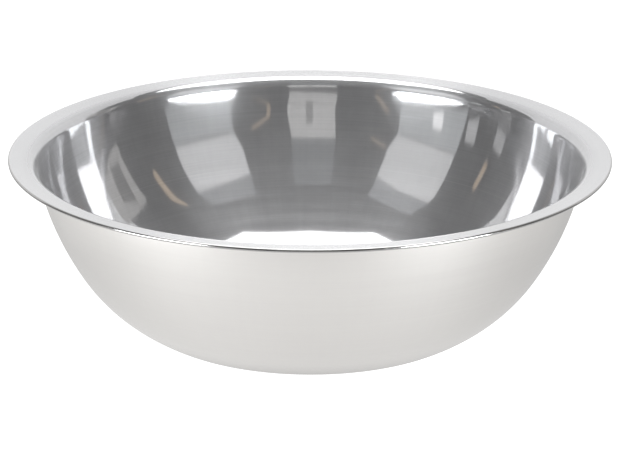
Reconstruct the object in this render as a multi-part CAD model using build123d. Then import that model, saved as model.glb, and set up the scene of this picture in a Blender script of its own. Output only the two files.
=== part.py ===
from build123d import *

import os
from math import atan2, cos, degrees, radians, sin, sqrt

# Round mixing bowl, drawn and spun from one disc of stainless-steel sheet.
# Millimetres, +Z up. The origin is the centre of the flat base, on the surface that it stands on.
# Every slope is the angle of the sheet above level, in degrees, going outwards from the centre.

# Driving dimensions. The radii of the corner and the walls are those of the outside of the bowl.
RIM_RADIUS = 238.0  # to the outside of the rolled edge
HEIGHT = 139.7  # to the top of the rolled edge
SHEET = 0.8  # thickness of the sheet
BASE_RADIUS = 124.6  # flat underside
CORNER_RADIUS = 22.4
CORNER_SLOPE = 28.6  # where the corner meets the lower wall
LOWER_WALL_RADIUS = 134.7
LOWER_WALL_SLOPE = 58.2  # where the lower wall meets the flatter upper wall
UPPER_WALL_RADIUS = 232.3
LIP_SLOPE = 6.0
LIP_FILLET = 9.5  # under the lip, where the wall turns outwards
ROLL_RADIUS = 1.4  # outside of the rolled edge
ROLL_TURN = 200.0  # how far the edge is rolled under, in degrees
ROLL_TAIL = 2.4  # straight end of the sheet, under the lip


def outward(slope):
    """The direction square to the sheet where it has this slope, pointing out of the bowl."""
    return Vector(sin(radians(slope)), -cos(radians(slope)))


def along(slope):
    """The direction of the sheet where it has this slope."""
    return Vector(cos(radians(slope)), sin(radians(slope)))


# Centres of the arcs, in a half section with the radius along X and the height along Y
corner_centre = Vector(BASE_RADIUS, CORNER_RADIUS)
lower_centre = corner_centre - outward(CORNER_SLOPE) * (LOWER_WALL_RADIUS - CORNER_RADIUS)
upper_centre = lower_centre - outward(LOWER_WALL_SLOPE) * (UPPER_WALL_RADIUS - LOWER_WALL_RADIUS)
roll_centre = Vector(RIM_RADIUS - ROLL_RADIUS, HEIGHT - ROLL_RADIUS)

# The fillet touches the upper wall and the underside of the lip, and that settles where the wall
# ends and how wide the flat of the lip is. Its centre is on a line parallel to the lip.
line_end = roll_centre - outward(LIP_SLOPE) * (ROLL_RADIUS - SHEET - LIP_FILLET)
line_offset = line_end - upper_centre
centre_gap = UPPER_WALL_RADIUS + LIP_FILLET
offset_along = line_offset.dot(along(LIP_SLOPE))
lip_flat = offset_along - sqrt(offset_along**2 - line_offset.length**2 + centre_gap**2)
fillet_centre = line_end - along(LIP_SLOPE) * lip_flat
wall_direction = fillet_centre - upper_centre
wall_slope = degrees(atan2(wall_direction.X, -wall_direction.Y))


def sheet_side(depth):
    """One side of the sheet, from the axis to its rolled end, at this depth in from the outside."""
    base = Line((0, depth), (BASE_RADIUS, depth))
    corner = CenterArc(corner_centre, CORNER_RADIUS - depth, -90, CORNER_SLOPE)
    lower_wall = CenterArc(
        lower_centre, LOWER_WALL_RADIUS - depth, CORNER_SLOPE - 90, LOWER_WALL_SLOPE - CORNER_SLOPE
    )
    upper_wall = CenterArc(
        upper_centre, UPPER_WALL_RADIUS - depth, LOWER_WALL_SLOPE - 90, wall_slope - LOWER_WALL_SLOPE
    )
    fillet = CenterArc(fillet_centre, LIP_FILLET + depth, wall_slope + 90, LIP_SLOPE - wall_slope)
    roll = CenterArc(roll_centre, ROLL_RADIUS - SHEET + depth, LIP_SLOPE + 90, -ROLL_TURN)
    lip = Line(fillet @ 1, roll @ 0)
    tail = Line(roll @ 1, roll @ 1 + along(LIP_SLOPE - ROLL_TURN) * ROLL_TAIL)
    return [base, corner, lower_wall, upper_wall, fillet, lip, roll, tail]


def make_bowl():
    """The sheet's half section, turned about the bowl's axis."""
    outside = sheet_side(0)
    inside = sheet_side(SHEET)
    centre_line = Line(outside[0] @ 0, inside[0] @ 0)
    sheet_end = Line(outside[-1] @ 1, inside[-1] @ 1)
    section = make_face(outside + inside + [centre_line, sheet_end])
    return revolve(Plane.XZ * section, Axis.Z)


os.makedirs("parts", exist_ok=True)
bowl = make_bowl()
bowl.label = "bowl"
export_step(bowl, "parts/bowl.step")
print(f"wall ends at a slope of {wall_slope:.1f} degrees, flat of the lip {lip_flat:.1f} mm wide")
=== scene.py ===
from math import atan2, cos, degrees, pi, radians, sin, sqrt

import bpy
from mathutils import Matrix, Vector


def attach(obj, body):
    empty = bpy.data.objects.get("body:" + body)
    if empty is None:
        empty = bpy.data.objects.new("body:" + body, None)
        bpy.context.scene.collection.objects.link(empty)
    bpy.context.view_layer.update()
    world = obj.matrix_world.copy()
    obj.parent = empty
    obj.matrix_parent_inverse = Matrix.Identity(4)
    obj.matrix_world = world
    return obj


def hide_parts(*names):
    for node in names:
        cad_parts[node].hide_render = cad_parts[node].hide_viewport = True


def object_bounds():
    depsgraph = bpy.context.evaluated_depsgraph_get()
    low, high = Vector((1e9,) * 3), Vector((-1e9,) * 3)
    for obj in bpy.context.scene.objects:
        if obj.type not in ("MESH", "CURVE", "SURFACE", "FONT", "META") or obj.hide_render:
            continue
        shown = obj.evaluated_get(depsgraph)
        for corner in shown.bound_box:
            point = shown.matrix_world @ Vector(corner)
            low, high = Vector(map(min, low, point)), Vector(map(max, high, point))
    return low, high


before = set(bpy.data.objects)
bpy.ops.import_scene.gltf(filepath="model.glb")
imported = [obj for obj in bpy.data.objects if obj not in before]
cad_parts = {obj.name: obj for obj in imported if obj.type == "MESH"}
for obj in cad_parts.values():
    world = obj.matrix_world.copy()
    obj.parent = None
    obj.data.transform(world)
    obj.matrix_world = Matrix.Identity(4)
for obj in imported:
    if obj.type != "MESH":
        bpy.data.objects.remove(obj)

# A stainless-steel mixing bowl on a lit white table. Everything is in metres, in the CAD's frame,
# with the bowl's axis on Z. Slopes and directions are in degrees.
cad_low, cad_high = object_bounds()

# The bowl. The rim and the height come from the frame; the rest repeats the CAD's section.
RIM_RADIUS = min(cad_high.x, cad_high.y)
HEIGHT = cad_high.z
SHEET = 0.0008
BASE_RADIUS = 0.1246
CORNER_RADIUS = 0.0224
CORNER_SLOPE = 28.6
LOWER_WALL_RADIUS = 0.1347
LOWER_WALL_SLOPE = 58.2
UPPER_WALL_RADIUS = 0.2323
LIP_SLOPE = 6.0
LIP_FILLET = 0.0095
ROLL_RADIUS = 0.0014
ROLL_TURN = 200.0
ROLL_TAIL = 0.0024

# How finely it is made: steps along each stretch of the section, and quads around the bowl
BASE_STEPS = 12
CORNER_STEPS = 14
LOWER_WALL_STEPS = 40
UPPER_WALL_STEPS = 34
FILLET_STEPS = 22
LIP_STEPS = 6
ROLL_STEPS = 26
AROUND = 300

# Where the finish changes
LIP_START = 0.2185  # radius where the wall has turned into the lip
LIP_BLEND = 0.006  # how far the wall's finish fades into the lip's
RING_HEIGHT = 0.0645  # a faint ring, left where the wall was drawn twice
RING_HALF_WIDTH = 0.0005

# The camera stands in front of the bowl, on -Y, and looks down at it.
CAMERA_DISTANCE = 8 * RIM_RADIUS  # from the centre of the mouth
CAMERA_HEIGHT_ANGLE = 17.22  # above the mouth
CAMERA_PITCH = 19.03
CAMERA_ROLL = -0.18
CAMERA_YAW = 0.088
CAMERA_RIGHT = 0.001
CAMERA_LENS = 139.3  # millimetres, on a sensor this wide
CAMERA_SENSOR = 36

# The table and the room
TABLE_HALF_WIDTH = 0.52
TABLE_FRONT = -0.46
TABLE_BACK = 1.2
TABLE_TOP = -0.0003  # just clear of the base
WHITE_GLOW = 1.2  # the table and the room, as the camera sees them
ROOM_GLOW = 0.16  # the room, as the steel mirrors it
# The glowing cards stand this far from a point inside the bowl, towards the back wall, which
# mirrors most of them.
CARD_CENTRE = Vector((0, 0.1, 0.1))
CARD_DISTANCE = 10.0
BACKDROP_DISTANCE = 10.5
# The middle of a wide flat card is nearer than its corners, so a card in front of it stands
# nearer still.
IN_FRONT = 9.4
WELL_IN_FRONT = 9.1

# Colours of the light
WHITE = (1, 1, 1)
KEY_LIGHT = (0.97, 0.99, 1)
SPILL_LIGHT = (0.96, 0.99, 1)
HALO_LIGHT = (0.96, 0.98, 1)
STAND_LIGHT = (0.95, 0.98, 1)
CARD_LIGHT = (1, 0.99, 0.97)
FRAME_LIGHT = (1, 0.98, 0.95)
WOOD_LIGHT = (1, 0.80, 0.6)
PALE_WOOD_LIGHT = (1, 0.82, 0.64)


# ---- geometry -------------------------------------------------------------------------------

def outward(slope):
    """The direction square to the sheet where it has this slope, pointing out of the bowl."""
    return Vector((sin(radians(slope)), -cos(radians(slope))))


def along(slope):
    """The direction of the sheet where it has this slope."""
    return Vector((cos(radians(slope)), sin(radians(slope))))


# Centres of the arcs, in a half section with the radius first and the height second
corner_centre = Vector((BASE_RADIUS, CORNER_RADIUS))
lower_centre = corner_centre - outward(CORNER_SLOPE) * (LOWER_WALL_RADIUS - CORNER_RADIUS)
upper_centre = lower_centre - outward(LOWER_WALL_SLOPE) * (UPPER_WALL_RADIUS - LOWER_WALL_RADIUS)
roll_centre = Vector((RIM_RADIUS - ROLL_RADIUS, HEIGHT - ROLL_RADIUS))

# The fillet touches the upper wall and the lip, which settles where the wall ends.
line_end = roll_centre - outward(LIP_SLOPE) * (ROLL_RADIUS - SHEET - LIP_FILLET)
line_offset = line_end - upper_centre
centre_gap = UPPER_WALL_RADIUS + LIP_FILLET
offset_along = line_offset.dot(along(LIP_SLOPE))
lip_flat = offset_along - sqrt(offset_along**2 - line_offset.length_squared + centre_gap**2)
fillet_centre = line_end - along(LIP_SLOPE) * lip_flat
wall_direction = fillet_centre - upper_centre
wall_slope = degrees(atan2(wall_direction.x, -wall_direction.y))


def arc(centre, radius, slope_from, slope_to, steps):
    """Points of the sheet along an arc; a negative radius is an arc that turns outwards."""
    turn = slope_to - slope_from
    return [centre + outward(slope_from + turn * i / steps) * radius for i in range(steps + 1)]


def sheet_side(depth):
    """One side of the sheet, from the axis to its rolled end, at this depth in from the outside."""
    lower_radius = LOWER_WALL_RADIUS - depth
    upper_radius = UPPER_WALL_RADIUS - depth
    fillet_radius = LIP_FILLET + depth
    roll_radius = ROLL_RADIUS - SHEET + depth
    roll_end = LIP_SLOPE - ROLL_TURN
    flat = [Vector((BASE_RADIUS * i / BASE_STEPS, depth)) for i in range(BASE_STEPS)]
    corner = arc(corner_centre, CORNER_RADIUS - depth, 0, CORNER_SLOPE, CORNER_STEPS)
    lower = arc(lower_centre, lower_radius, CORNER_SLOPE, LOWER_WALL_SLOPE, LOWER_WALL_STEPS)
    upper = arc(upper_centre, upper_radius, LOWER_WALL_SLOPE, wall_slope, UPPER_WALL_STEPS)
    fillet = arc(fillet_centre, -fillet_radius, wall_slope, LIP_SLOPE, FILLET_STEPS)
    roll = arc(roll_centre, -roll_radius, LIP_SLOPE, roll_end, ROLL_STEPS)
    lip = [fillet[-1].lerp(roll[0], i / LIP_STEPS) for i in range(1, LIP_STEPS)]
    tail = [roll[-1] + along(roll_end) * ROLL_TAIL]
    return flat + corner + lower[1:] + upper[1:] + fillet[1:] + lip + roll + tail


def lathe(name, section, materials, material_of):
    """A closed mesh of revolution. The section runs from the axis back to the axis, and
    material_of gives the material of the stretch that follows its i-th point."""
    ring = section[1:-1]
    verts = [(0, 0, section[0].y)]
    for p in ring:
        for k in range(AROUND):
            turn = 2 * pi * k / AROUND
            verts.append((p.x * cos(turn), p.x * sin(turn), p.y))
    verts.append((0, 0, section[-1].y))
    faces, kinds = [], []
    last = len(verts) - 1
    end = last - AROUND
    for k in range(AROUND):
        n = (k + 1) % AROUND
        faces.append((0, 1 + k, 1 + n))
        kinds.append(material_of(0))
        for i in range(len(ring) - 1):
            a = 1 + i * AROUND
            b = a + AROUND
            faces.append((a + k, b + k, b + n, a + n))
            kinds.append(material_of(i + 1))
        faces.append((end + k, last, end + n))
        kinds.append(material_of(len(ring)))
    mesh = bpy.data.meshes.new(name)
    mesh.from_pydata(verts, [], faces)
    for material in materials:
        mesh.materials.append(material)
    for face, kind in zip(mesh.polygons, kinds):
        face.material_index = kind
        face.use_smooth = True
    mesh.update()
    obj = bpy.data.objects.new(name, mesh)
    bpy.context.scene.collection.objects.link(obj)
    return obj


# ---- shader nodes ---------------------------------------------------------------------------

def empty_tree(owner):
    """Switch a material or the world to nodes, with none in it yet."""
    owner.use_nodes = True
    owner.node_tree.nodes.clear()
    return owner.node_tree


def feed(tree, socket, value):
    """Set a socket to a constant, or link it to the output that is given."""
    if isinstance(value, bpy.types.NodeSocket):
        tree.links.new(value, socket)
    else:
        socket.default_value = value


def add(tree, kind, **inputs):
    """A new node of this kind, with its inputs fed by name."""
    node = tree.nodes.new("ShaderNode" + kind)
    for name, value in inputs.items():
        feed(tree, node.inputs[name.replace("_", " ")], value)
    return node


def math(tree, operation, *values):
    """The result of a sum, product or the like, as an output."""
    node = tree.nodes.new("ShaderNodeMath")
    node.operation = operation
    for socket, value in zip(node.inputs, values):
        feed(tree, socket, value)
    return node.outputs[0]


def ramp(tree, value, start, end, low, high):
    """Goes evenly from low to high while the value goes from start to end, and stays there."""
    node = add(tree, "MapRange", Value=value, From_Min=start, From_Max=end, To_Min=low, To_Max=high)
    return node.outputs["Result"]


def mix_shaders(tree, share, first, second):
    """The first shader, with this share of the second."""
    node = tree.nodes.new("ShaderNodeMixShader")
    for socket, value in zip(node.inputs, (share, first.outputs[0], second.outputs[0])):
        feed(tree, socket, value)
    return node


# ---- steel ----------------------------------------------------------------------------------

def steel(name, tint, sharp, brushed, haze, lip_haze, anisotropy, lines, uneven=1.0):
    """Stainless steel with fine brush lines around the axis: a sharp reflection and a brushed one.
    sharp and brushed are their roughnesses, haze and lip_haze the brushed one's share on the wall
    and on the lip, lines the depth of the brush lines, and uneven how much the finish varies."""
    material = bpy.data.materials.new(name)
    tree = empty_tree(material)

    def plus(first, *others):
        total = first
        for value in others:
            total = math(tree, "ADD", total, value)
        return total

    def times(first, second):
        return math(tree, "MULTIPLY", first, second)

    def noise(vector, detail, scale=1.0, lowest=0.0):
        """Noise stretched to run from lowest to 1."""
        texture = add(tree, "TexNoise", Vector=vector, Scale=scale, Detail=detail, Roughness=0.6)
        return ramp(tree, texture.outputs[0], 0.3, 0.7, lowest, 1.0)

    # Where a point is on the bowl: how far out, how high, and which way round
    place = add(tree, "TexCoord").outputs["Object"]
    x, y, z = add(tree, "SeparateXYZ", Vector=place).outputs
    out_from_axis = math(tree, "SQRT", plus(times(x, x), times(y, y)))
    off_axis = math(tree, "MAXIMUM", out_from_axis, 0.002)  # never zero, to divide by
    way_x = math(tree, "DIVIDE", x, off_axis)
    way_y = math(tree, "DIVIDE", y, off_axis)
    up_the_sheet = plus(out_from_axis, times(z, 1.3))  # grows all the way from base to lip

    def grain(around, across):
        """Coordinates for noise: about this many features in a radian around the bowl, and in a
        metre up it."""
        grain_x, grain_y = times(way_x, around), times(way_y, around)
        return add(tree, "CombineXYZ", X=grain_x, Y=grain_y, Z=times(up_the_sheet, across)).outputs[0]

    brush = noise(grain(around=1.1, across=700), detail=3)
    bands = noise(grain(around=0.7, across=90), detail=2)
    streaks = noise(grain(around=26, across=3), detail=2)
    wear = noise(place, detail=4, scale=30)
    # Mostly below zero, so that only its peaks are scratches
    peaks = noise(grain(around=60, across=500), detail=6, lowest=-1.2)
    scratches = math(tree, "MAXIMUM", peaks, 0.0)

    # Colour: a faint change from line to line and from patch to patch
    contrast = 0.035 * uneven
    shade = tree.nodes.new("ShaderNodeMix")
    shade.data_type = "RGBA"
    amount, darker, lighter = shade.inputs[0], shade.inputs[6], shade.inputs[7]  # those for colours
    feed(tree, amount, plus(times(brush, 0.6), times(wear, 0.4)))
    feed(tree, darker, (*[(1 - contrast) * c for c in tint], 1))
    feed(tree, lighter, (*[(1 + contrast) * c for c in tint], 1))
    colour = shade.outputs[2]

    relief = plus(times(brush, lines), times(scratches, 0.35 * lines))
    bump = add(tree, "Bump", Strength=0.12, Distance=0.00002, Height=relief)

    tangent = tree.nodes.new("ShaderNodeTangent")
    tangent.direction_type = "RADIAL"
    tangent.axis = "Z"

    def lobe(roughness):
        """One of the two reflections, turned a quarter so that it smears up and down the wall."""
        change = 0.22 * uneven * roughness
        varied = plus(times(bands, change), times(brush, change), roughness - change)
        return add(tree, "BsdfPrincipled", Base_Color=colour, Metallic=1.0, Roughness=varied,
                   Anisotropic=anisotropy, Anisotropic_Rotation=0.25,
                   Normal=bump.outputs[0], Tangent=tangent.outputs[0])

    # The brushed reflection's share varies, rises on the ring, and drops where the lip is buffed.
    share = plus(times(streaks, 0.06 * uneven), times(bands, 0.10 * uneven))
    share = plus(share, times(plus(brush, wear), 0.10 * uneven), 1 - 0.18 * uneven)
    from_ring = math(tree, "ABSOLUTE", math(tree, "SUBTRACT", z, RING_HEIGHT))
    on_ring = math(tree, "LESS_THAN", from_ring, RING_HALF_WIDTH)
    share = plus(share, times(on_ring, 0.06 * uneven))
    buffed = ramp(tree, out_from_axis, LIP_START, LIP_START + LIP_BLEND, haze, lip_haze)
    both = mix_shaders(tree, times(share, buffed), lobe(sharp), lobe(brushed))
    add(tree, "OutputMaterial", Surface=both.outputs[0])
    return material


inside_steel = steel("steel_inside", (0.63, 0.63, 0.64), sharp=0.05, brushed=0.52, haze=0.46,
                     lip_haze=0.2, anisotropy=1.0, lines=1.0)
outside_steel = steel("steel_outside", (0.66, 0.645, 0.628), sharp=0.24, brushed=0.42, haze=0.5,
                      lip_haze=0.5, anisotropy=0.5, lines=0.35, uneven=0.2)
# Painted shade: the edge's dark tint stands in for the dark reflection along the rolled edge.
shaded_edge_steel = steel("steel_edge_painted_shade", (0.42, 0.415, 0.41), sharp=0.12, brushed=0.3, haze=0.2,
                   lip_haze=0.2, anisotropy=0.3, lines=0.5)
finishes = [inside_steel, outside_steel, shaded_edge_steel]
INSIDE, OUTSIDE, SHADED_EDGE = range(3)

# The section runs up the inside to the rolled end of the sheet, and back down the outside.
inside = sheet_side(SHEET)
outside = sheet_side(0)
last_inside = len(inside) - 1
# The roll starts in the lip's finish, and the rest of it is dull and darker: painted shade for the
# dark reflection along the roll.
shaded_edge_start = last_inside - 1 - ROLL_STEPS + ROLL_STEPS // 8


def finish_at(i):
    """The finish of the stretch that follows the section's i-th point."""
    if i >= last_inside:
        return OUTSIDE
    return SHADED_EDGE if i >= shaded_edge_start else INSIDE


bowl = lathe("bowl_steel", inside + outside[::-1], finishes, finish_at)
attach(bowl, "root")
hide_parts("bowl")


# ---- studio ---------------------------------------------------------------------------------

def glow(name, tint, strength_in):
    """A glowing surface. strength_in gives its strength, as a number or as an output in its tree."""
    material = bpy.data.materials.new(name)
    tree = empty_tree(material)
    emission = add(tree, "Emission", Color=(*tint, 1), Strength=strength_in(tree))
    add(tree, "OutputMaterial", Surface=emission.outputs[0])
    return material


def flat_stage(name, points, material):
    """A flat surface that isn't part of the object."""
    mesh = bpy.data.meshes.new(name)
    mesh.from_pydata(points, [], [tuple(range(len(points)))])
    mesh.materials.append(material)
    obj = bpy.data.objects.new(name, mesh)
    bpy.context.scene.collection.objects.link(obj)
    return obj


def card(name, corners, strength, tint=WHITE, distance=CARD_DISTANCE, again=None):
    """A glowing card that the camera doesn't see. Its corners lie in these directions from
    CARD_CENTRE: round from the camera's side, positive to the right, and above level. In a
    reflection of a reflection it has the strength `again`, because the bowl's two ends mirror
    these lights twice, much brighter than once."""

    def strength_in(tree):
        if again is None:
            return strength
        bounces = add(tree, "LightPath").outputs["Ray Depth"]
        twice = math(tree, "GREATER_THAN", bounces, 1.5)
        return ramp(tree, twice, 0, 1, strength, again)

    points = []
    for azimuth, elevation in corners:
        a, e = radians(azimuth), radians(elevation)
        way = Vector((sin(a) * cos(e), -cos(a) * cos(e), sin(e)))
        points.append(CARD_CENTRE + way * distance)
    flat_stage(name, points, glow(name, tint, strength_in)).visible_camera = False


def table_strength(tree):
    """The table is white in the picture. What the steel mirrors of it carries painted light and
    shade: painted shade darker to the back and to the right, away from the lights, a painted shadow
    under the bowl, and painted light out at the two sides."""
    place = add(tree, "TexCoord").outputs["Object"]
    x, y, _ = add(tree, "SeparateXYZ", Vector=place).outputs
    from_axis = tree.nodes.new("ShaderNodeVectorMath")
    from_axis.operation = "LENGTH"
    feed(tree, from_axis.inputs[0], place)
    # Painted shade and light in the glow that the steel mirrors: darker to the back and right, a
    # painted shadow under the bowl, lighter at the two sides.
    painted_shade_to_back = ramp(tree, y, -0.4, 0.15, 1.26, 0.66)
    painted_shade_to_right = ramp(tree, x, -0.05, 0.35, 1.0, 0.84)
    painted_light_at_sides = ramp(tree, math(tree, "ABSOLUTE", x), 0.26, 0.42, 1.0, 1.5)
    painted_shadow_under_bowl = ramp(tree, from_axis.outputs["Value"], 0.124, 0.15, 0.6, 1.0)
    mirrored = math(tree, "MULTIPLY", painted_shade_to_back, painted_light_at_sides)
    mirrored = math(tree, "MULTIPLY", mirrored, painted_shadow_under_bowl)
    mirrored = math(tree, "MULTIPLY", mirrored, painted_shade_to_right)
    seen = math(tree, "MULTIPLY", add(tree, "LightPath").outputs["Is Camera Ray"], WHITE_GLOW)
    return math(tree, "MAXIMUM", mirrored, seen)


left, right = -TABLE_HALF_WIDTH, TABLE_HALF_WIDTH
table_corners = [(left, TABLE_FRONT), (right, TABLE_FRONT), (right, TABLE_BACK), (left, TABLE_BACK)]
flat_stage("table", [(*corner, TABLE_TOP) for corner in table_corners],
           glow("table", WHITE, table_strength))

# Overhead softbox
card("overhead", [(-82, 69.5), (0, 83), (83, 68.8), (120, 58), (180, 50), (-120, 58)], 5.0)

# The backdrop, white from the table up, all round the back
for side, sign in (("right", 1), ("left", -1)):
    half_backdrop = [(113, -2), (113, 30), (115, 50), (180, 50), (180, -2)]
    mirrored_half = [(sign * azimuth, elevation) for azimuth, elevation in half_backdrop]
    card("backdrop_" + side, mirrored_half, 1.12, distance=BACKDROP_DISTANCE)

# Two long bright lights, low in front at the right and the left
card("key_right", [(67, -6), (50, -4), (33, -3), (32, 3), (34, 6), (37, 6.8), (49, 5.7), (65, 2.6)],
     34, KEY_LIGHT)
card("key_left", [(-73, -6), (-50, -4), (-36, -3), (-36, 4), (-41, 6.6), (-55, 5.0), (-71.3, 2)],
     29, KEY_LIGHT)

# What they spill on, between them and the boards
card("spill_right_low", [(67, 5), (50, 8.5), (36, 10), (36.2, 13), (67, 12.3)],
     0.62, SPILL_LIGHT, again=7)
card("spill_right_near", [(36.2, 13), (42, 12.9), (42, 20.4), (36.5, 20.5)],
     0.66, SPILL_LIGHT, again=6)
card("spill_right_far", [(42, 12.9), (67, 12.3), (67, 19), (42, 20.4)], 0.66, SPILL_LIGHT)
card("spill_left_low", [(-73.5, 4), (-55, 8), (-41, 10), (-41.2, 13), (-73.3, 12.3)],
     0.72, SPILL_LIGHT, again=7)
card("spill_left_near", [(-41.2, 13), (-47, 12.9), (-47, 20.2), (-41.9, 20.3)],
     0.76, SPILL_LIGHT, again=6)
card("spill_left_far", [(-47, 12.9), (-73.3, 12.3), (-73.2, 19.3), (-47, 20.2)], 0.76, SPILL_LIGHT)

# Light-grey boards over them, and a faint light above each board
card("board_right",
     [(67, 19.4), (36.5, 20.9), (33.6, 28.3), (33.5, 38.3), (66.8, 37.3), (67.4, 27)],
     1.05, again=7)
card("board_left",
     [(-41.9, 20.5), (-73.2, 19.8), (-75, 40.4), (-37.8, 38.6), (-38.3, 33.7), (-38.8, 26.7)],
     1.05, again=7)
card("halo_right", [(33.5, 38.5), (66.8, 37.5), (66, 48), (34, 49)], 0.42, HALO_LIGHT)
card("halo_left", [(-75, 40.6), (-37.8, 38.8), (-38, 50), (-74, 51)], 0.5, HALO_LIGHT)

# The card round the camera, with the camera's slot in front of it, and the stand above it
card("camera_card", [(8.9, 7.3), (-12.1, 8), (-11.1, 15.4), (-12.4, 26), (9, 26.1), (10.6, 14.5)],
     0.85, CARD_LIGHT)
card("camera_slot", [(-1.2, 11.5), (2, 11.5), (2, 20.5), (-1.2, 20.5)],
     0.45, CARD_LIGHT, IN_FRONT)
card("camera_stand", [(9, 26.3), (-12.4, 26.2), (-13, 46), (9.5, 46)], 0.28, STAND_LIGHT)

# A window frame at the right, and small panels at the left
card("frame", [(115.8, 25.6), (114.6, 13), (102.7, 8), (97, 7.4), (95.4, 26.7)], 0.62, FRAME_LIGHT)
card("frame_pane", [(100.5, 23.9), (108.4, 20.4), (106, 11), (99.6, 12)],
     0.25, FRAME_LIGHT, WELL_IN_FRONT)
card("panel_high", [(-91, 3), (-91, 10), (-97, 11), (-97, 3)], 0.7)
card("panel_side", [(-74.5, 7), (-80.1, 4.8), (-80.8, 13.5), (-75.5, 14)], 0.8)
card("panel_low", [(-56.5, 8.8), (-61.6, 7.7), (-62.7, 14.3), (-58, 14.5)],
     1.7, distance=WELL_IN_FRONT)

# Warm wood strips at the edges of the room
card("strip_a", [(82.2, 22), (84.5, 22.5), (83, 34), (79.5, 41), (77.5, 40), (80, 32)],
     0.8, WOOD_LIGHT)
card("strip_b", [(26.5, 8), (24.9, 8.6), (17.8, 12), (18.4, 17.4), (27.3, 21.7), (28, 20.5),
                 (20, 16.6), (19.4, 12.4)], 0.62, PALE_WOOD_LIGHT)
card("strip_c", [(-29.2, 23.6), (-37.5, 25.9), (-38, 27.2), (-29.6, 24.9)], 0.55, PALE_WOOD_LIGHT)
card("strip_d", [(-28.6, 7.6), (-34.8, 13.4), (-36.4, 12.6), (-29.6, 6.4)], 0.55, PALE_WOOD_LIGHT)
card("strip_e", [(-90.2, 15.5), (-92.4, 15.5), (-92.6, 24.1), (-90.2, 24.1)], 0.78, WOOD_LIGHT)

# The room is white to the camera, and dark where the steel mirrors it.
world = bpy.data.worlds.new("room")
room = empty_tree(world)
dark = add(room, "Background", Color=(*WHITE, 1), Strength=ROOM_GLOW)
white = add(room, "Background", Color=(*WHITE, 1), Strength=WHITE_GLOW)
to_camera = add(room, "LightPath").outputs["Is Camera Ray"]
add(room, "OutputWorld", Surface=mix_shaders(room, to_camera, dark, white).outputs[0])

scene = bpy.context.scene
scene.world = world
scene.view_settings.view_transform = "Standard"

# ---- camera ---------------------------------------------------------------------------------

rise = radians(CAMERA_HEIGHT_ANGLE)
cam = bpy.data.objects.new("camera", bpy.data.cameras.new("camera"))
cam.data.lens = CAMERA_LENS
cam.data.sensor_width = CAMERA_SENSOR
cam.location = (CAMERA_RIGHT, -CAMERA_DISTANCE * cos(rise), HEIGHT + CAMERA_DISTANCE * sin(rise))
cam.rotation_euler = (radians(90 - CAMERA_PITCH), radians(CAMERA_ROLL), radians(CAMERA_YAW))
scene.collection.objects.link(cam)
scene.camera = cam
